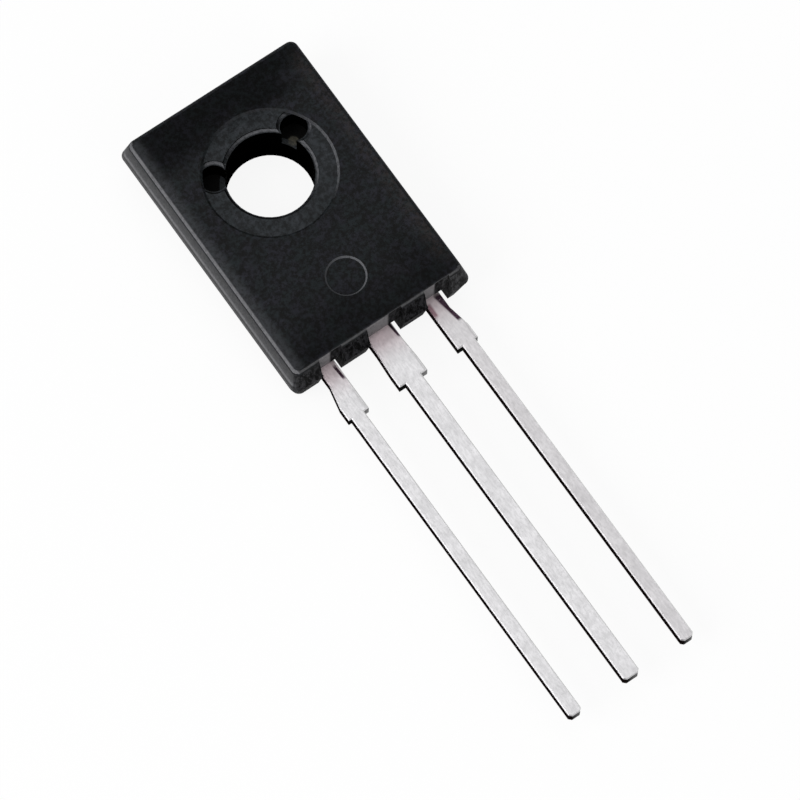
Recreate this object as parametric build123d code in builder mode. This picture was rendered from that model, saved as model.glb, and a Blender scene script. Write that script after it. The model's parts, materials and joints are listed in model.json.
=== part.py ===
"""Power transistor in a flat three-lead moulded package with one screw hole.

The outline is the TO-126 / TO-225AA one. Millimetres, +Z up. The part lies on
its back: the seating face is z = 0, the leads point to -Y, and the origin is the
axis of the mounting hole on the seating face.
"""
import math
import os

from build123d import *

os.makedirs("parts", exist_ok=True)

# ---- Moulded body -----------------------------------------------------------
body_width = 7.56           # across the parting line
body_length = 11.0          # along the parting line
body_thickness = 2.4
hole_from_top = 4.0         # hole axis to the top end, at the parting line
corner_radius = 0.3         # upright corners
draft_angle = 12.0          # every wall leans in, both ways from the parting line
front_edge_radius = 0.2

hole_radius = 1.6
rim_radius = 0.13           # rounding of the hole and the pin marks at the screw seat
screw_seat_radius = 2.46    # shallow round sinking for the screw head
screw_seat_depth = 0.08

pin_mark_radius = 0.5       # left by the pins that hold the plate in the mould
pin_mark_offset = 1.98      # from the hole axis
pin_mark_angle = 59.5       # each side of the +Y direction

dimple_radius = 0.75
dimple_depth = 0.06
dimple_from_hole = 4.7
step_slope = 45.0           # walls of the screw seat and of the dimple

# ---- Heat-spreader plate ------------------------------------------------------
plate_thickness = 1.3       # its front face is flush with that of the leads
plate_side_wall = 0.8       # resin beside the bare back of the plate
plate_top_wall = 0.7        # resin above the bare back of the plate
plate_end_wall = 1.85       # resin between the plate and the lead end
plate_hole_radius = 1.8     # the resin lines this hole down to hole_radius
plate_lip = 0.3             # step that the resin grips, on both sides and the top
plate_lip_height = 0.45     # from the seating face to the step
plate_corner_radius = 0.5

# ---- Leads ----------------------------------------------------------------------
lead_thickness = 0.5
lead_edge = 0.04            # bevel round the front face of each lead
lead_pitch = 2.37           # between the axes of the long narrow parts
lead_reach = 15.0           # tip, from the body's end
narrow_width_outer = 0.52
narrow_width_centre = 0.66
tip_chamfer = 0.1

shoulder_reach = 1.85       # end of the wide part, from the body's end
flare_start = 0.4           # start of the flare, from the body's end
flare_reach = 1.3           # end of the flare, from the body's end
wide_half_centre = 0.59
root_half_centre = 0.54
wide_inner = 0.47           # outer leads: wide part, from the lead's axis inwards
wide_outer = 0.38           # the same, outwards
root_outer = 0.2            # the same, outwards, where the lead leaves the body

# ---- Relief pockets at the lead roots ------------------------------------------
pocket_side = 0.4           # open space beside each lead, on its +X side
pocket_side_emitter = 0.3   # the same beside the emitter lead
pocket_depth = 0.42         # into the back half of the body's end
pocket_front_depth = 0.06   # into the front half, from its edge

# ---- Inside ---------------------------------------------------------------------
pad_gap = 0.35              # plate to bonding pads
pad_length = 0.9
pad_neck_gap = 0.4          # bonding pads to the collector's neck
pad_side_wall = 0.8         # resin outside a bonding pad

die_size = 2.3
die_thickness = 0.22
die_from_plate_end = 0.45
solder_thickness = 0.04
solder_border = 0.12

wire_radius = 0.1
loop_height = 0.6           # pull points of the loop, above the chip
loop_start = 0.2            # where those points lie, as shares of the span
loop_finish = 0.85
foot_length = 0.4
foot_width = 0.26
foot_height = 0.12
bond_spread = 0.55          # bonds on the chip, each side of its middle
bond_inset = 0.45           # bonds on the chip, from its lead-side edge

# ---- Places worked out from the sizes --------------------------------------------
lead_top = plate_thickness
lead_bottom = lead_top - lead_thickness
parting_height = lead_top
front_height = body_thickness - parting_height

front_inset = front_height * math.tan(math.radians(draft_angle))
back_inset = parting_height * math.tan(math.radians(draft_angle))

top_y = hole_from_top
end_y = hole_from_top - body_length
middle_y = (top_y + end_y) / 2
front_end_y = end_y + front_inset
back_end_y = end_y + back_inset

seat_floor = body_thickness - screw_seat_depth
pin_mark_x = pin_mark_offset * math.sin(math.radians(pin_mark_angle))
pin_mark_y = pin_mark_offset * math.cos(math.radians(pin_mark_angle))

bare_width = body_width - 2 * back_inset - 2 * plate_side_wall
bare_top_y = top_y - back_inset - plate_top_wall
plate_end_y = back_end_y + plate_end_wall
plate_length = bare_top_y - plate_end_y

tip_y = end_y - lead_reach
shoulder_y = end_y - shoulder_reach
root_y = end_y - flare_start
flare_y = end_y - flare_reach
narrow_half = narrow_width_outer / 2
centre_half = narrow_width_centre / 2

pad_top_y = plate_end_y - pad_gap
pad_end_y = pad_top_y - pad_length
pad_inner_x = root_half_centre + pad_neck_gap
pad_outer_x = body_width / 2 - pad_side_wall

die_y = plate_end_y + die_from_plate_end + die_size / 2
die_bottom = plate_thickness + solder_thickness
die_top = die_bottom + die_thickness
bond_y = die_y - die_size / 2 + bond_inset
pad_y = (pad_top_y + pad_end_y) / 2
pad_x = (pad_inner_x + pad_outer_x) / 2


def outer_lead(side):
    """One outer lead with its bonding pad; side is -1 for emitter, +1 for base."""
    inner = lead_pitch - wide_inner
    outline = [
        (pad_inner_x, pad_top_y),
        (pad_outer_x, pad_top_y),
        (pad_outer_x, pad_end_y),
        (lead_pitch + root_outer, pad_end_y),
        (lead_pitch + root_outer, root_y),
        (lead_pitch + wide_outer, flare_y),
        (lead_pitch + wide_outer, shoulder_y),
        (lead_pitch + narrow_half, shoulder_y),
        (lead_pitch + narrow_half, tip_y + tip_chamfer),
        (lead_pitch + narrow_half - tip_chamfer, tip_y),
        (lead_pitch - narrow_half + tip_chamfer, tip_y),
        (lead_pitch - narrow_half, tip_y + tip_chamfer),
        (lead_pitch - narrow_half, shoulder_y),
        (inner, shoulder_y),
        (inner, pad_end_y),
        (pad_inner_x, pad_end_y),
    ]
    with BuildPart() as lead:
        with BuildSketch(Plane.XY.offset(lead_bottom)):
            with BuildLine():
                Polyline([(side * x, y) for x, y in outline], close=True)
            make_face()
        extrude(amount=lead_thickness)
        chamfer(lead.faces().sort_by(Axis.Z)[-1].edges(), lead_edge)
    return lead.part


def half_body(height, direction):
    """Half of the moulded body, from the parting line up (1) or down (-1)."""
    with BuildPart() as half:
        with BuildSketch(Plane.XY.offset(parting_height)):
            with Locations((0, middle_y)):
                Rectangle(body_width, body_length)
        extrude(amount=height, dir=(0, 0, direction), taper=draft_angle)
        fillet(half.edges().filter_by(lambda edge: abs(edge.tangent_at(0).Z) > 0.5), corner_radius)
        if direction > 0:
            fillet(half.faces().sort_by(Axis.Z)[-1].edges(), front_edge_radius)
    return half.part


def rim(radius):
    """What the rounding takes off the edge of a round hole whose mouth is at z = 0."""
    with BuildPart() as ring:
        with BuildSketch(Plane.XZ):
            with BuildLine():
                Line((radius, 0), (radius + rim_radius, 0))
                RadiusArc((radius + rim_radius, 0), (radius, -rim_radius), rim_radius)
                Line((radius, -rim_radius), (radius, 0))
            make_face()
        revolve(axis=Axis.Z)
    return ring.part


def bond_wire(side):
    """Round wire looping from the chip to a bonding pad, with a flat foot at each end."""
    start = Vector(side * bond_spread, bond_y, die_top)
    finish = Vector(side * pad_x, pad_y, lead_top)
    span = Vector(finish.X - start.X, finish.Y - start.Y, 0)
    along = span.normalized()
    turn = math.degrees(math.atan2(along.Y, along.X))
    upright = Plane(origin=start, x_dir=along, z_dir=along.cross(Vector(0, 0, 1)))
    with BuildPart() as wire:
        with BuildLine(upright) as loop:
            Bezier(
                (0, wire_radius),
                (span.length * loop_start, loop_height),
                (span.length * loop_finish, loop_height),
                (span.length, wire_radius + lead_top - die_top),
            )
        with BuildSketch(Plane(origin=loop.line @ 0, z_dir=loop.line % 0)):
            Circle(wire_radius)
        sweep()
        with Locations(Location(start, (0, 0, turn)), Location(finish, (0, 0, turn))):
            Box(
                foot_length,
                foot_width,
                foot_height,
                align=(Align.CENTER, Align.CENTER, Align.MIN),
            )
    return wire.part


# ---- Collector: plate, neck and centre lead in one --------------------------------
with BuildPart() as collector_tab:
    with BuildSketch():
        with Locations((0, bare_top_y - plate_length / 2)):
            RectangleRounded(bare_width, plate_length, plate_corner_radius)
    extrude(amount=plate_thickness)
    with BuildSketch(Plane.XY.offset(plate_lip_height)):
        with Locations((0, bare_top_y + plate_lip)):
            Rectangle(
                bare_width + 2 * plate_lip,
                plate_length + plate_lip,
                align=(Align.CENTER, Align.MAX),
            )
    extrude(amount=plate_thickness - plate_lip_height)
    with BuildSketch(Plane.XY.offset(lead_bottom)):
        with BuildLine():
            Polyline(
                (-root_half_centre, plate_end_y + plate_lip),
                (root_half_centre, plate_end_y + plate_lip),
                (root_half_centre, root_y),
                (wide_half_centre, flare_y),
                (wide_half_centre, shoulder_y),
                (centre_half, shoulder_y),
                (centre_half, tip_y + tip_chamfer),
                (centre_half - tip_chamfer, tip_y),
                (-centre_half + tip_chamfer, tip_y),
                (-centre_half, tip_y + tip_chamfer),
                (-centre_half, shoulder_y),
                (-wide_half_centre, shoulder_y),
                (-wide_half_centre, flare_y),
                (-root_half_centre, root_y),
                close=True,
            )
        make_face()
    extrude(amount=lead_thickness)
    front = collector_tab.faces().sort_by(Axis.Z)[-1]
    chamfer(front.edges().filter_by(lambda edge: edge.center().Y < pad_top_y), lead_edge)
    Hole(plate_hole_radius)
collector_tab.part.label = "collector_tab"

# ---- Outer leads ----------------------------------------------------------------
with BuildPart() as emitter_lead:
    add(outer_lead(-1))
emitter_lead.part.label = "emitter_lead"

with BuildPart() as base_lead:
    add(outer_lead(1))
base_lead.part.label = "base_lead"

# ---- Chip, solder and bond wires ---------------------------------------------------
with BuildPart() as die_solder:
    with BuildSketch(Plane.XY.offset(plate_thickness)):
        with Locations((0, die_y)):
            Rectangle(die_size + 2 * solder_border, die_size + 2 * solder_border)
    extrude(amount=solder_thickness)
die_solder.part.label = "die_solder"

with BuildPart() as silicon_die:
    with BuildSketch(Plane.XY.offset(die_bottom)):
        with Locations((0, die_y)):
            Rectangle(die_size, die_size)
    extrude(amount=die_thickness)
silicon_die.part.label = "silicon_die"

with BuildPart() as emitter_bond_wire:
    add(bond_wire(-1))
emitter_bond_wire.part.label = "emitter_bond_wire"

with BuildPart() as base_bond_wire:
    add(bond_wire(1))
base_bond_wire.part.label = "base_bond_wire"

# ---- Moulded body, filled round everything above -------------------------------------
inserts = [
    collector_tab.part,
    emitter_lead.part,
    base_lead.part,
    die_solder.part,
    silicon_die.part,
    emitter_bond_wire.part,
    base_bond_wire.part,
]
# Root of each lead, from its -X flank to its +X flank, and the open space beside it.
lead_roots = [
    (-lead_pitch - root_outer, -lead_pitch + wide_inner, pocket_side_emitter),
    (-root_half_centre, root_half_centre, pocket_side),
    (lead_pitch - wide_inner, lead_pitch + root_outer, pocket_side),
]

pin_marks = [(-pin_mark_x, pin_mark_y), (pin_mark_x, pin_mark_y)]

with BuildPart() as epoxy_body:
    add(half_body(front_height, 1))
    add(half_body(parting_height, -1))

    with BuildSketch(Plane.XY.offset(body_thickness)):
        Circle(screw_seat_radius)
    extrude(amount=-screw_seat_depth, taper=step_slope, mode=Mode.SUBTRACT)
    with BuildSketch(Plane.XY.offset(body_thickness)):
        with Locations((0, -dimple_from_hole)):
            Circle(dimple_radius)
    extrude(amount=-dimple_depth, taper=step_slope, mode=Mode.SUBTRACT)
    with BuildSketch(Plane.XY.offset(seat_floor)):
        with Locations(*pin_marks):
            Circle(pin_mark_radius)
    extrude(amount=plate_thickness - seat_floor, mode=Mode.SUBTRACT)
    with Locations((0, 0, seat_floor)):
        add(rim(hole_radius), mode=Mode.SUBTRACT)
    for x, y in pin_marks:
        with Locations((x, y, seat_floor)):
            add(rim(pin_mark_radius), mode=Mode.SUBTRACT)

    for left, right, beside in lead_roots:
        with BuildSketch():
            with Locations((left, back_end_y + pocket_depth)):
                Rectangle(
                    right - left + beside,
                    back_inset + pocket_depth,
                    align=(Align.MIN, Align.MAX),
                )
        extrude(amount=lead_top, mode=Mode.SUBTRACT)
        with BuildSketch(Plane.XY.offset(lead_top)):
            with Locations((left, front_end_y + pocket_front_depth)):
                Rectangle(
                    right - left + beside,
                    front_inset + pocket_front_depth,
                    align=(Align.MIN, Align.MAX),
                )
        extrude(amount=front_height, mode=Mode.SUBTRACT)

    add(inserts, mode=Mode.SUBTRACT)
    Hole(hole_radius)
epoxy_body.part.label = "epoxy_body"

export_step(epoxy_body.part, "parts/epoxy_body.step")
export_step(collector_tab.part, "parts/collector_tab.step")
export_step(emitter_lead.part, "parts/emitter_lead.step")
export_step(base_lead.part, "parts/base_lead.step")
export_step(silicon_die.part, "parts/silicon_die.step")
export_step(die_solder.part, "parts/die_solder.step")
export_step(emitter_bond_wire.part, "parts/emitter_bond_wire.step")
export_step(base_bond_wire.part, "parts/base_bond_wire.step")
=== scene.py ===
"""Power transistor in a flat three-lead moulded package, lying on its back."""
import json
import math
from types import SimpleNamespace

import bpy
from mathutils import Matrix, Vector


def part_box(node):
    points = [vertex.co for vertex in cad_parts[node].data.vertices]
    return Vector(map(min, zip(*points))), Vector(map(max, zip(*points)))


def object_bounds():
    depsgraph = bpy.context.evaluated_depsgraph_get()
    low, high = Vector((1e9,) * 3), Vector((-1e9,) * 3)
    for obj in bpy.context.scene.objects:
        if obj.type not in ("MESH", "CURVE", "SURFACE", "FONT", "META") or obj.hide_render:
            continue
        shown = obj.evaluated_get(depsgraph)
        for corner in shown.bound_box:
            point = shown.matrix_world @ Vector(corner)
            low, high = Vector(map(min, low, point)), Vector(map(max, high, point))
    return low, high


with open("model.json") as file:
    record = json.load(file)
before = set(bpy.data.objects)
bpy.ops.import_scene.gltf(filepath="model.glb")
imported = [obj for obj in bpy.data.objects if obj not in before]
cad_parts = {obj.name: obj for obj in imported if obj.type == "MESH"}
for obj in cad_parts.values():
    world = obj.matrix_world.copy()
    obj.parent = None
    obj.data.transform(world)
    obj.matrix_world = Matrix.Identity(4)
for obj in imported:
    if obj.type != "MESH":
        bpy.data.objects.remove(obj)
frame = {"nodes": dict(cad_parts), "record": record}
cad_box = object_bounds()

MM = 0.001

# ---- Places --------------------------------------------------------------------------
# From the frame and its record: boxes in metres, single places in millimetres.
low, high = cad_box
middle = (low + high) / 2
body_low, body_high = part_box("epoxy_body")
lead_low, lead_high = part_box("emitter_lead")
mounts = {mount["name"]: mount for mount in frame["record"]["mounts"]}

body_end = body_low.y / MM                      # the end that the leads leave
face_z = body_high.z / MM                       # front face
lead_z = lead_high.z / MM                       # front faces of the leads and the plate
tip_end = lead_low.y / MM                       # the leads' tips
hole_radius = mounts["mounting_hole"]["dims"]["r_mm"]
pitch = mounts["base_pin"]["pos_m"][0] / MM     # from one lead's axis to the next

# Places that the frame doesn't name, in millimetres.
seat_reach = hole_radius + 1.3       # just outside the screw seat
seat_wall_from = hole_radius + 0.70  # between the hole's rim and the seat's
dimple_from_hole = 4.7               # centre of the dimple, towards the leads
dimple_reach = 1.1                   # just outside the dimple
ridge_highlight_height = 0.36                   # painted highlight of a flash line on the sides, above the parting line
groove_shade_height = 0.20                  # painted shade just under the flash line
glint_centre = (1.59, 0.88)             # centre of a painted glint, in the neck of one pin mark
# Where the pocket wall over each lead is painted paler as painted light: the lead's axis, then
# from and to beside it.
lit_root_walls = ((-pitch, -0.20, 0.30), (0.0, -0.54, 0.40), (pitch, -0.47, 0.0))

# Colour of a painted glint.
GLINT_COLOUR = (0.070, 0.065, 0.050, 1)


# ---- Node helpers ------------------------------------------------------------------
class Shader:
    """Builds one procedural material; a value that is a socket is linked, any other is set."""

    def __init__(self, name):
        self.material = bpy.data.materials.new(name)
        self.material.use_nodes = True
        self.tree = self.material.node_tree
        self.tree.nodes.clear()

    def node(self, kind, props=None, **inputs):
        made = self.tree.nodes.new(kind)
        for key, value in (props or {}).items():
            setattr(made, key, value)
        for key, value in inputs.items():
            self.put(made.inputs[key.replace("_", " ")], value)
        return made

    def put(self, socket, value):
        if isinstance(value, bpy.types.NodeSocket):
            self.tree.links.new(value, socket)
        else:
            socket.default_value = value

    def math(self, operation, first, second=0.0, third=0.0):
        made = self.tree.nodes.new("ShaderNodeMath")
        made.operation = operation
        for socket, value in zip(made.inputs, (first, second, third)):
            self.put(socket, value)
        return made.outputs[0]

    def product(self, *factors):
        whole = factors[0]
        for factor in factors[1:]:
            whole = self.math("MULTIPLY", whole, factor)
        return whole

    def rest(self, share):
        """What is left of one."""
        return self.math("SUBTRACT", 1.0, share)

    def either(self, *shares):
        """The largest of the shares."""
        whole = shares[0]
        for share in shares[1:]:
            whole = self.math("MAXIMUM", whole, share)
        return whole

    def off(self, value, centre):
        """How far a value is from a centre."""
        return self.math("ABSOLUTE", self.math("SUBTRACT", value, centre))

    def mix(self, factor, first, second):
        made = self.tree.nodes.new("ShaderNodeMix")
        made.data_type = "RGBA"  # its colours are the sockets 6 and 7
        self.put(made.inputs[0], factor)
        self.put(made.inputs[6], first)
        self.put(made.inputs[7], second)
        return made.outputs[2]

    def spread(self, value, from_low, from_high, to_low=0.0, to_high=1.0):
        """Smooth step of value from one range to the other; it stays inside the second."""
        made = self.tree.nodes.new("ShaderNodeMapRange")
        made.interpolation_type = "SMOOTHSTEP"
        for socket, number in zip(made.inputs, (value, from_low, from_high, to_low, to_high)):
            self.put(socket, number)
        return made.outputs[0]

    def within(self, value, first, last, soft=0.05):
        """One between first and last, falling to none just outside them."""
        rise = self.spread(value, first - soft, first + soft)
        return self.product(rise, self.spread(value, last + soft, last - soft))

    def spread_line(self, value, first, last):
        """Share of the way from first to last, from none to one."""
        made = self.tree.nodes.new("ShaderNodeMapRange")
        for socket, number in zip(made.inputs, (value, first, last, 0.0, 1.0)):
            self.put(socket, number)
        return made.outputs[0]

    def tint(self, colour, level):
        """The colour times a level."""
        made = self.tree.nodes.new("ShaderNodeVectorMath")
        made.operation = "SCALE"
        self.put(made.inputs[0], colour)
        self.put(made.inputs["Scale"], level)
        return made.outputs[0]

    def place(self):
        """Object coordinates in millimetres, whole and as x, y, z."""
        coords = self.node("ShaderNodeTexCoord").outputs["Object"]
        scaled = self.tree.nodes.new("ShaderNodeVectorMath")
        scaled.operation = "SCALE"
        self.put(scaled.inputs[0], coords)
        scaled.inputs["Scale"].default_value = 1 / MM
        parts = self.node("ShaderNodeSeparateXYZ", Vector=scaled.outputs[0])
        return scaled.outputs[0], parts.outputs[0], parts.outputs[1], parts.outputs[2]

    def facing(self):
        """The face's own normal as x, y, z."""
        normal = self.node("ShaderNodeNewGeometry").outputs["True Normal"]
        return self.node("ShaderNodeSeparateXYZ", Vector=normal).outputs

    def far(self, x, y, at_x=0.0, at_y=0.0):
        """Distance in the XY plane from a point."""
        side = self.math("SUBTRACT", x, at_x)
        along = self.math("SUBTRACT", y, at_y)
        squares = self.math("ADD", self.product(side, side), self.product(along, along))
        return self.math("SQRT", squares)

    def noise(self, vector, scale, detail=3.0, roughness=0.5, stretch=None):
        if stretch:
            mapping = self.node("ShaderNodeMapping", Vector=vector, Scale=stretch)
            vector = mapping.outputs[0]
        made = self.node(
            "ShaderNodeTexNoise",
            Vector=vector,
            Scale=scale,
            Detail=detail,
            Roughness=roughness,
        )
        return made.outputs["Fac"]

    def finish(self, surface):
        output = self.node("ShaderNodeOutputMaterial")
        self.put(output.inputs["Surface"], surface)
        return self.material


def grey(level, red=0.0, blue=0.0):
    """A linear grey with a slight tint."""
    return (level * (1 + red), level, level * (1 + blue), 1)


def dress(name, material):
    """Gives a CAD node's own slots this material."""
    piece = frame["nodes"][name]
    if not piece.material_slots:
        piece.data.materials.append(None)
    for slot in piece.material_slots:
        slot.link = "OBJECT"
        slot.material = material


# ---- Moulded resin -------------------------------------------------------------------
def body_areas(s):
    """Noises, and shares from none to one that say where on the body a point is."""
    at = SimpleNamespace()
    where, at.x, at.y, at.z = s.place()
    at.nx, at.ny, at.nz = s.facing()
    at.blotch = s.noise(where, 0.5, 3.0, 0.6)
    at.tint = s.noise(where, 1.7, 3.0, 0.6)
    at.leather = s.noise(where, 5.5, 4.0, 0.85)
    at.grain = s.noise(where, 9.0, 4.0, 0.75)
    at.crust = s.noise(where, 6.0, 4.0, 0.85, (1.0, 1.0, 0.4))

    at.radius = s.far(at.x, at.y)
    from_dimple = s.far(at.x, at.y, 0.0, -dimple_from_hole)
    steep = s.spread(s.math("ABSOLUTE", at.nz), 0.35, 0.25)
    upright = s.spread(s.math("ABSOLUTE", at.nz), 0.15, 0.05)
    lead_end = s.spread(at.y, body_end + 0.80, body_end + 0.75)
    at.flat = s.spread(at.nz, 0.96, 0.99)
    at.near_hole = s.spread(at.radius, seat_reach, seat_reach - 0.1)
    at.near_dimple = s.spread(from_dimple, dimple_reach, dimple_reach - 0.1)
    at.sunk = s.product(at.flat, at.near_hole, s.spread(at.z, face_z - 0.01, face_z - 0.04))
    at.bore = s.product(steep, at.near_hole)
    at.wall = s.product(steep, s.rest(at.near_hole))
    at.end_face = s.product(at.wall, lead_end, s.spread(at.ny, -0.3, -0.6))
    at.pocket = s.product(at.wall, lead_end, upright)
    at.torn = s.either(at.end_face, at.pocket)
    at.dull = s.either(at.bore, at.torn)
    return at


def painted_face_light(s, at):
    """Painted light and shade on the front face: darker towards both ends, paler towards both
    sides, uneven in large areas.
    """
    along = s.math("ADD", at.y, s.product(s.math("SUBTRACT", at.blotch, 0.5), 4.0))
    shade_to_top = s.spread(along, 3.1, 1.3, 0.40, 1.0)
    shade_to_leads = s.spread(along, -7.2, -3.6, 0.50, 1.0)
    beside = s.spread(s.math("ABSOLUTE", at.x), 2.4, 3.6, 1.0, 1.35)
    level = s.product(s.math("MINIMUM", shade_to_top, shade_to_leads), beside)
    return s.mix(at.flat, grey(1.0), level)


def face_tone(s, at, level):
    """Skin greenish and purplish in turn, scaled by the front face's painted light and shade,
    with a painted highlight near the -X edge, warmer at +X; the seat's floor sanded.
    """
    rough_spots = s.spread(at.leather, 0.40, 0.62)
    green = s.mix(rough_spots, grey(0.0006, -0.2, 0.1), grey(0.0145, -0.26, 0.12))
    purple = s.mix(rough_spots, grey(0.0006, 0.0, 0.3), grey(0.0145, -0.04, 0.36))
    skin = s.tint(s.mix(s.spread(at.tint, 0.40, 0.60), green, purple), level)

    # Painted highlight near the -X edge.
    left_edge_light = s.product(at.flat, s.spread(at.x, -2.95, -3.35))
    left_edge_light = s.product(left_edge_light, s.spread(at.leather, 0.3, 0.6, 0.4, 1.0))
    skin = s.mix(s.product(left_edge_light, 0.55), skin, grey(0.050, -0.05, 0.1))
    off_ends = s.product(s.spread(at.y, -6.6, -5.6), s.spread(at.y, 3.7, 2.7))
    warm_edge = s.product(at.flat, s.spread(at.x, 2.75, 3.40), off_ends)
    warm_edge = s.product(warm_edge, s.spread(at.grain, 0.38, 0.62))
    skin = s.mix(s.product(warm_edge, 0.45), skin, (0.034, 0.026, 0.025, 1))

    sanded = s.mix(rough_spots, grey(0.012, -0.15, 0.12), grey(0.040, -0.12, 0.12))
    sanded_share = s.product(at.sunk, s.spread(at.tint, 0.35, 0.65, 0.40, 0.75))
    return s.mix(sanded_share, skin, sanded)


def side_tone(s, at, under):
    """The four sides: painted light, paler towards the parting line, with a painted highlight
    along a flash line above it and painted shade just under that.
    """
    above_parting = s.math("SUBTRACT", at.z, lead_z)
    # Painted light: the sides are lighter than the face, most towards the parting line.
    painted_light_to_parting = s.spread(s.math("ABSOLUTE", above_parting), face_z - lead_z, 0.1, 0.35, 1.0)
    side = s.mix(s.spread(at.grain, 0.3, 0.7), grey(0.052, 0.0, 0.04), grey(0.085, 0.0, 0.06))
    # Painted highlight along the flash line, and painted shade just under it.
    ridge_highlight = s.spread(s.off(above_parting, ridge_highlight_height), 0.13, 0.03)
    ridge_highlight = s.product(ridge_highlight, s.spread(at.grain, 0.3, 0.6, 0.5, 1.0))
    groove_shade = s.spread(s.off(above_parting, groove_shade_height), 0.10, 0.03)
    side = s.mix(ridge_highlight, side, grey(0.150, 0.0, 0.05))
    side = s.mix(s.product(groove_shade, 0.8), side, grey(0.030))
    return s.mix(s.product(at.wall, painted_light_to_parting), under, side)


def end_tone(s, at, under):
    """The end that the leads leave: torn and rough, with painted light on the pocket walls over
    the leads.
    """
    torn = s.mix(s.spread(at.crust, 0.45, 0.58), grey(0.0008, 0.0, 0.1), grey(0.029, 0.0, 0.1))
    corner = s.mix(s.spread(at.crust, 0.42, 0.60), grey(0.018), grey(0.070, 0.0, 0.04))
    base_corner = s.spread(at.x, pitch + 0.31, pitch + 0.37)
    emitter_corner = s.spread(at.x, -pitch - 0.2, -pitch - 0.3)
    torn = s.mix(s.product(base_corner, 0.95), torn, corner)
    torn = s.mix(s.product(emitter_corner, at.end_face, 0.35), torn, corner)
    ends = s.mix(at.torn, under, torn)

    # Painted light on the pocket walls over the leads.
    root_wall = s.product(at.pocket, s.spread(at.ny, -0.8, -0.95))
    root_wall = s.product(root_wall, s.spread(at.z, lead_z - 0.1, lead_z))
    over_root = s.either(
        *(s.within(at.x, axis + first, axis + last) for axis, first, last in lit_root_walls)
    )
    root_wall_light = s.product(root_wall, over_root, s.spread(at.leather, 0.3, 0.55, 0.6, 1.0))
    return s.mix(root_wall_light, ends, grey(0.220, 0.04, 0.03))


def rim_highlights_and_shade(s, at):
    """Shares of the painted highlights on the rims of the hole, seat and dimple, brightest where
    they face -X, and of the hole's shaded rim, which is painted shade.
    """
    edge = s.product(s.spread(at.nz, 0.25, 0.45), s.spread(at.nz, 0.97, 0.93))
    toward = s.math("ADD", at.nx, s.product(at.ny, 0.6))
    seat_wall = s.spread(at.radius, seat_wall_from, seat_wall_from + 0.06)
    across = s.math("SUBTRACT", at.nx, s.product(at.ny, 0.5))
    # Painted highlight on the rims, brightest where they face -X.
    highlight_side = s.spread(across, -0.3, -0.9, 0.15, 1.0)

    rim = s.product(at.near_hole, edge, s.spread(toward, 0.1, -0.45))
    rim = s.product(rim, s.spread(at.grain, 0.3, 0.6, 0.45, 1.0))
    rim = s.product(rim, s.mix(seat_wall, grey(1.0), highlight_side))
    # Painted highlight on the dimple's ring, brightest where it faces -X.
    ring = s.product(at.near_dimple, edge, s.spread(at.nx, 0.5, -0.7, 0.5, 1.0))
    ring = s.product(ring, s.spread(at.grain, 0.3, 0.5, 0.5, 1.0))
    # Painted shade on the hole's rim where it faces +X and +Y.
    shaded = s.product(at.near_hole, edge, s.spread(toward, 0.2, 0.6), s.rest(seat_wall))
    return s.either(rim, ring), shaded


def edge_tone(s, at, under, rims):
    """Painted highlights on edges: the -X one, the one over the leads and the rims of the sunk
    places.
    """
    # Painted highlight along the -X edge.
    left = s.product(s.spread(at.nx, -0.15, -0.35), s.spread(at.nz, 0.50, 0.65))
    left = s.product(left, s.spread(at.nz, 0.98, 0.90), s.spread(at.grain, 0.3, 0.6, 0.6, 1.0))
    # Painted highlight along the edge over the leads.
    lead = s.product(s.spread(at.ny, -0.2, -0.4), s.spread(at.nz, 0.58, 0.70))
    lead = s.product(lead, s.spread(at.nz, 0.93, 0.86), s.spread(at.leather, 0.3, 0.6, 0.5, 1.0))
    outside = s.rest(s.either(at.near_hole, at.near_dimple))
    edge_highlight = s.mix(s.product(lead, outside), under, grey(0.080, 0.0, 0.04))
    edge_highlight = s.mix(s.product(left, outside), edge_highlight, grey(0.140, 0.0, 0.06))
    return s.mix(s.product(rims, 0.9), edge_highlight, grey(0.120, -0.02, 0.08))


def moulded_epoxy():
    s = Shader("moulded_epoxy")
    at = body_areas(s)
    level = painted_face_light(s, at)
    rims, shaded = rim_highlights_and_shade(s, at)
    tone = face_tone(s, at, level)
    tone = side_tone(s, at, tone)
    tone = end_tone(s, at, tone)
    tone = edge_tone(s, at, tone, rims)
    # Painted shade: the bore and the hole's shaded rim are near black, and the bore is a black
    # metal that shows no reflection.
    tone = s.mix(s.either(at.bore, shaded), tone, grey(0.0006, 0.2, -0.1))

    # A painted glint in the neck of one pin mark.
    glint_mask = s.spread(s.far(at.x, at.y, *glint_centre), 0.21, 0.13)
    glint_mask = s.product(glint_mask, s.spread(at.z, lead_z - 0.5, lead_z - 0.2))
    glint_mask = s.product(glint_mask, s.spread(at.z, lead_z + 0.2, lead_z + 0.05))
    glint_mask = s.product(glint_mask, s.spread(at.leather, 0.4, 0.6, 0.3, 1.0))
    tone = s.mix(glint_mask, tone, GLINT_COLOUR)

    rough = s.spread(at.leather, 0.35, 0.65, 0.50, 0.72)
    rough = s.math("SUBTRACT", rough, s.product(at.sunk, 0.06))
    rough = s.math("ADD", rough, s.product(at.dull, 0.3))
    height = s.math("ADD", s.product(at.leather, 0.6), s.product(at.grain, 0.4))
    bump = s.node("ShaderNodeBump", Strength=0.45, Distance=0.02 * MM, Height=height).outputs[0]
    body = s.node("ShaderNodeBsdfPrincipled", Roughness=rough, Normal=bump, Metallic=at.bore)
    s.put(body.inputs["Base Color"], tone)
    s.put(body.inputs["Specular IOR Level"], 0.16)
    # The reflection follows the front face's painted light and shade, and is taken off the bore,
    # the hole's shaded rim and the end that the leads leave: painted shade.
    gloss = s.product(level, s.rest(s.either(at.dull, shaded)))
    s.put(body.inputs["Specular Tint"], s.mix(gloss, grey(0.0), grey(1.0)))
    return s.finish(body.outputs[0])


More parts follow.
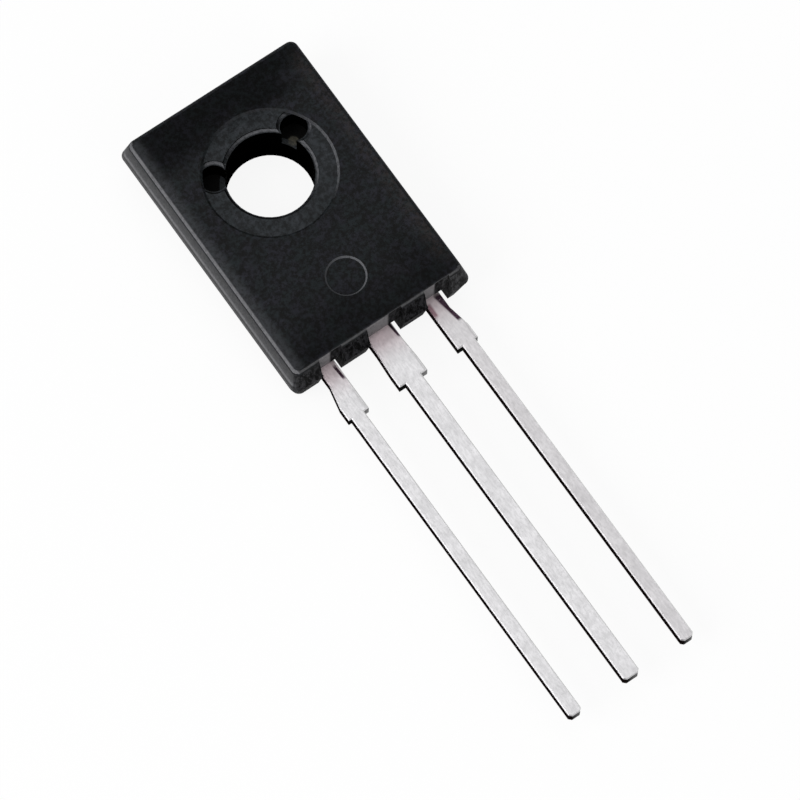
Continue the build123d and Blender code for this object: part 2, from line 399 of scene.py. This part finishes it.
# ---- Tinned copper -------------------------------------------------------------------
def metal_areas(s):
    """Noises, and shares from none to one that say where on the leads and plate a point is."""
    at = SimpleNamespace()
    where, at.x, at.y, _ = s.place()
    at.nx, _, at.nz = s.facing()
    at.brushed = s.noise(where, 16.0, 3.0, 0.6, (1.0, 0.25, 1.0))
    at.cloud = s.noise(where, 1.6, 4.0, 0.6)
    at.speck = s.noise(where, 12.0, 4.0, 0.8)

    at.front = s.spread(at.nz, 0.9, 0.97)
    bevel = s.product(s.spread(at.nz, 0.4, 0.5), s.spread(at.nz, 0.95, 0.9))
    at.front_or_bevel = s.either(at.front, bevel)
    # Painted highlight on the bevels on the +X side.
    at.far_bevel = s.product(bevel, s.spread(at.nx, 0.2, 0.5))
    at.cut = s.spread(s.math("ABSOLUTE", at.nz), 0.5, 0.3)
    at.crosswise = s.spread(s.math("ABSOLUTE", at.nx), 0.5, 0.1)
    at.on_leads = s.spread(at.y, body_end + 0.6, body_end + 0.3)
    # Painted shade on the plate's front, which shows only in the pin marks.
    at.film = s.product(at.front, s.spread(at.y, -1.0, -0.5))

    # The lead's number is -1, 0 or 1 for the emitter, collector or base.
    at.lead = s.math("ROUND", s.math("DIVIDE", at.x, pitch))
    at.from_axis = s.math("SUBTRACT", at.x, s.product(at.lead, pitch))
    return at


def silver_tone(s, at):
    """Bright tin: cloudy, brushed along the leads and specked, pinkish at the leads' roots, with
    painted light in the pockets and painted shade just outside the body.
    """
    silver = s.mix(s.spread(at.cloud, 0.3, 0.7), grey(0.66, 0.01, 0.02), grey(0.78, 0.01, 0.02))
    silver = s.mix(s.spread(at.brushed, 0.35, 0.7, 0.0, 0.22), silver, grey(0.52, 0.0, 0.01))
    silver = s.mix(s.spread(at.speck, 0.50, 0.70, 0.0, 0.45), silver, grey(0.50, 0.0, 0.01))
    # Pinkish roots: painted light in the pockets, painted shade just outside the body.
    cloudy_y = s.math("ADD", at.y, s.product(at.cloud, 0.8))
    near_root = s.spread(cloudy_y, body_end - 0.9, body_end + 0.9)
    in_pocket = s.spread(at.y, body_end - 0.2, body_end + 0.25)
    root = s.mix(in_pocket, (0.40, 0.31, 0.33, 1), (0.95, 0.80, 0.83, 1))
    return s.mix(s.product(near_root, at.on_leads, 0.9), silver, root)


def lead_tone(s, at, under):
    """What differs from lead to lead, and the painted highlight on the bevels on the +X side."""
    # A maroon blush at the base lead's root.
    blush = s.within(at.x, pitch - 0.50, pitch - 0.32, 0.05)
    blush = s.product(blush, s.within(at.y, body_end - 0.45, body_end + 0.1, 0.08))
    blush = s.product(blush, at.front_or_bevel, s.spread(at.speck, 0.3, 0.5, 0.6, 0.95))
    tone = s.mix(blush, under, (0.16, 0.040, 0.068, 1))

    # A duller line just inside the +X edge of each wide part. That edge is 0.47, 0.59 and 0.38
    # from the axis of the emitter, collector and base lead.
    half_wide = s.math("SUBTRACT", 0.59, s.product(s.math("ABSOLUTE", at.lead), 0.165))
    half_wide = s.math("SUBTRACT", half_wide, s.product(at.lead, 0.045))
    inside_edge = s.math("SUBTRACT", half_wide, at.from_axis)
    line = s.within(inside_edge, 0.05, 0.11, 0.03)
    line = s.product(line, s.within(at.y, body_end - 1.85, body_end - 0.9, 0.1))
    tone = s.mix(s.product(line, at.front, 0.45), tone, grey(0.36))

    # The base lead is duller all over.
    base = s.product(s.spread(at.x, 1.5, 1.6), at.on_leads)
    tone = s.mix(s.product(base, 0.30), tone, (0.41, 0.38, 0.39, 1))
    # The bevels on the +X side are painted pale: a painted highlight.
    return s.mix(at.far_bevel, tone, grey(0.86))


def body_reflection_share(s, at):
    """Painted reflections of the black body: dark streaks on the leads' fronts beside the body.
    """
    # Each starts and ends at an x and y, with its half width at both.
    body_reflections = (
        (-pitch + 0.34, body_end + 0.02, -pitch + 0.38, body_end - 0.55, 0.06, 0.06),
        (0.45, body_end + 0.25, 0.50, body_end - 0.35, 0.06, 0.05),
        (pitch + 0.08, body_end + 0.15, pitch + 0.25, body_end - 1.05, 0.15, 0.10),
    )
    shares = []
    for first_x, first_y, last_x, last_y, first_half, last_half in body_reflections:
        along = s.spread_line(at.y, first_y, last_y)
        centre = s.math("ADD", s.product(along, last_x - first_x), first_x)
        half = s.math("ADD", s.product(along, last_half - first_half), first_half)
        across = s.spread(s.math("DIVIDE", s.off(at.x, centre), half), 1.2, 0.6)
        first_end = s.spread(at.y, first_y + 0.2, first_y)
        last_end = s.spread(at.y, last_y, last_y + 0.15)
        shares.append(s.product(across, first_end, last_end))
    patchy = s.spread(at.speck, 0.3, 0.45, 0.7, 1.0)
    return s.product(s.either(*shares), at.front_or_bevel, patchy)


def cut_tone(s, at):
    """Sheared faces: flanks towards -X painted near black as shade and dark grey towards +X, and
    ends in greys.
    """
    beyond_axis = s.spread(at.from_axis, -0.25, 0.25)
    above_tips = s.spread(at.y, tip_end + 2.0, tip_end + 3.0)
    # Painted shade: the flanks towards -X are near black.
    flank_shade = s.mix(
        s.spread(at.speck, 0.40, 0.65), (0.004, 0.002, 0.002, 1), (0.026, 0.018, 0.018, 1)
    )
    flank_shade = s.mix(s.spread(at.nx, 0.3, 0.6), flank_shade, grey(0.090))
    across = s.mix(beyond_axis, grey(0.020), grey(0.26))
    cut = s.mix(at.crosswise, flank_shade, across)
    return s.mix(s.product(at.crosswise, beyond_axis, above_tips), cut, grey(0.40))


def tinned_metal():
    s = Shader("tinned_copper")
    at = metal_areas(s)
    # Dark colours of the painted reflections of the black body.
    reflection_colour = s.mix(
        s.spread(at.cloud, 0.4, 0.6), (0.022, 0.010, 0.018, 1), (0.050, 0.028, 0.045, 1)
    )
    tone = silver_tone(s, at)
    tone = lead_tone(s, at, tone)
    tone = s.mix(body_reflection_share(s, at), tone, reflection_colour)
    tone = s.mix(at.cut, tone, cut_tone(s, at))

    # From the front the plate shows only in the two pin marks; its front is painted near black
    # there as shade.
    # A painted glint on the plate in the neck of one pin mark.
    glint_mask = s.spread(s.far(at.x, at.y, *glint_centre), 0.23, 0.15)
    glint_mask = s.product(glint_mask, s.spread(at.speck, 0.35, 0.60, 0.3, 1.0))
    tone = s.mix(at.film, tone, s.mix(glint_mask, grey(0.002, 0.1, 0.0), GLINT_COLOUR))

    rough = s.spread(at.brushed, 0.3, 0.7, 0.34, 0.48)
    rough = s.either(rough, s.product(s.either(at.film, at.cut), 0.8))
    height = s.math("ADD", s.product(at.brushed, 0.5), s.product(at.speck, 0.5))
    bump = s.node("ShaderNodeBump", Strength=0.25, Distance=0.008 * MM, Height=height).outputs[0]
    # The plate's painted shade and the bevels' painted highlight are not metal.
    plain = s.rest(s.either(at.film, at.far_bevel))
    metal = s.node("ShaderNodeBsdfPrincipled", Metallic=plain, Roughness=rough, Normal=bump)
    s.put(metal.inputs["Base Color"], tone)
    s.put(metal.inputs["Specular IOR Level"], 0.1)
    # Sheared faces get a black edge tint, so they lose their reflection at grazing angles:
    # painted shade.
    s.put(metal.inputs["Specular Tint"], s.mix(at.cut, grey(1.0), grey(0.0)))
    return s.finish(metal.outputs[0])


# ---- Hidden pieces ---------------------------------------------------------------------
def simple(name, first, second, scale, metallic, rough_low, rough_high):
    """One grained material, between two colours and two roughnesses."""
    s = Shader(name)
    where, *_ = s.place()
    grain = s.noise(where, scale, 4.0, 0.6)
    bump = s.node("ShaderNodeBump", Strength=0.2, Distance=0.005 * MM, Height=grain).outputs[0]
    made = s.node(
        "ShaderNodeBsdfPrincipled",
        Metallic=metallic,
        Roughness=s.spread(grain, 0.3, 0.7, rough_low, rough_high),
        Normal=bump,
    )
    s.put(made.inputs["Base Color"], s.mix(grain, first, second))
    return s.finish(made.outputs[0])


dress("epoxy_body", moulded_epoxy())
tinned = tinned_metal()
for lead in ("collector_tab", "emitter_lead", "base_lead"):
    dress(lead, tinned)
silicon_tones = grey(0.10, -0.1, 0.3), grey(0.15, -0.1, 0.3)
solder_tones = grey(0.43), grey(0.59)
wire_tones = grey(0.75, 0.0, 0.03), grey(0.87, 0.0, 0.01)
silicon = simple(
    "silicon", *silicon_tones, scale=8.0, metallic=0.0, rough_low=0.15, rough_high=0.3
)
solder = simple("solder", *solder_tones, scale=6.0, metallic=1.0, rough_low=0.3, rough_high=0.5)
wire = simple(
    "aluminium_wire", *wire_tones, scale=12.0, metallic=1.0, rough_low=0.2, rough_high=0.35
)
dress("silicon_die", silicon)
dress("die_solder", solder)
for name in ("emitter_bond_wire", "base_bond_wire"):
    dress(name, wire)

# ---- Floor ----------------------------------------------------------------------------
floor_mesh = bpy.data.meshes.new("floor")
reach = 1.5  # metres from the hole's axis to each edge
ground = low.z - 0.01 * MM  # just clear of the back, which would lie in the same plane
corners = ((-reach, -reach), (reach, -reach), (reach, reach), (-reach, reach))
floor_mesh.from_pydata(
    [(x, y, ground) for x, y in corners],
    [],
    [(0, 1, 2, 3)],
)
floor = bpy.data.objects.new("floor", floor_mesh)
bpy.context.scene.collection.objects.link(floor)

# Matt to the light, and nearly a plain white glow to the camera and in reflections.
s = Shader("pale_floor")
path = s.node("ShaderNodeLightPath")
seen = s.math("MAXIMUM", path.outputs["Is Camera Ray"], path.outputs["Is Glossy Ray"])
seen = s.math("MAXIMUM", seen, path.outputs["Is Transmission Ray"])
where, *_ = s.place()
tone = s.mix(s.noise(where, 0.05, 2.0), grey(0.93), grey(0.95))
diffuse = s.node("ShaderNodeBsdfDiffuse", Color=tone).outputs[0]
glow = s.node("ShaderNodeEmission", Strength=1.0).outputs[0]
blend = s.tree.nodes.new("ShaderNodeMixShader")
s.put(blend.inputs[0], s.product(seen, 0.9))
s.put(blend.inputs[1], diffuse)
s.put(blend.inputs[2], glow)
floor.data.materials.append(s.finish(blend.outputs[0]))

# ---- World and lamps --------------------------------------------------------------------
# The camera sees plain white; everything else gets a soft, even light.
world = bpy.data.worlds.new("studio")
bpy.context.scene.world = world
world.use_nodes = True
nodes = world.node_tree.nodes
links = world.node_tree.links
nodes.clear()
path = nodes.new("ShaderNodeLightPath")
soft = nodes.new("ShaderNodeBackground")
soft.inputs["Strength"].default_value = 0.4
white = nodes.new("ShaderNodeBackground")
choose = nodes.new("ShaderNodeMixShader")
out = nodes.new("ShaderNodeOutputWorld")
for background in (soft, white):
    background.inputs["Color"].default_value = grey(1.0)
links.new(path.outputs["Is Camera Ray"], choose.inputs[0])
links.new(soft.outputs[0], choose.inputs[1])
links.new(white.outputs[0], choose.inputs[2])
links.new(choose.outputs[0], out.inputs["Surface"])


def direction(azimuth, elevation):
    """Unit vector to a place above the floor; azimuth 0 is on the side of the leads' tips."""
    a, e = math.radians(azimuth), math.radians(elevation)
    return Vector((math.sin(a) * math.cos(e), -math.cos(a) * math.cos(e), math.sin(e)))


def softbox(name, azimuth, elevation, distance, size, power):
    """A square lamp that looks at the part's middle; metres and watts."""
    light = bpy.data.lights.new(name, "AREA")
    light.shape = "SQUARE"
    light.size = size
    light.energy = power
    away = direction(azimuth, elevation)
    holder = bpy.data.objects.new(name, light)
    holder.location = middle + away * distance
    holder.rotation_euler = away.to_track_quat("Z", "Y").to_euler()
    bpy.context.scene.collection.objects.link(holder)


softbox("top", azimuth=143, elevation=71, distance=0.30, size=0.28, power=0.20)
softbox("key", azimuth=-100, elevation=38, distance=0.30, size=0.22, power=0.60)
softbox("fill", azimuth=10, elevation=36, distance=0.35, size=0.16, power=0.16)

# ---- Camera ------------------------------------------------------------------------------
camera_distance = 196.98 * MM
back = direction(azimuth=-36.638, elevation=70.967)
roll = math.radians(1.885)
aim = middle + Vector((-0.828, -0.212, 0.0)) * MM  # a little beside the part's middle
eye = aim + back * camera_distance
level = Vector((0.0, 0.0, 1.0)).cross(back).normalized()
above = back.cross(level)
right = math.cos(roll) * level + math.sin(roll) * above
up = math.cos(roll) * above - math.sin(roll) * level
camera_data = bpy.data.cameras.new("camera")
camera_data.sensor_width = 36.0
camera_data.lens = 253.8
camera_data.clip_start = 0.005
camera_data.clip_end = 10.0
camera = bpy.data.objects.new("camera", camera_data)
camera.matrix_world = Matrix(
    [(right[i], up[i], back[i], eye[i]) for i in range(3)] + [(0, 0, 0, 1)]
)
bpy.context.scene.collection.objects.link(camera)
bpy.context.scene.camera = camera
bpy.context.scene.view_settings.view_transform = "Standard"
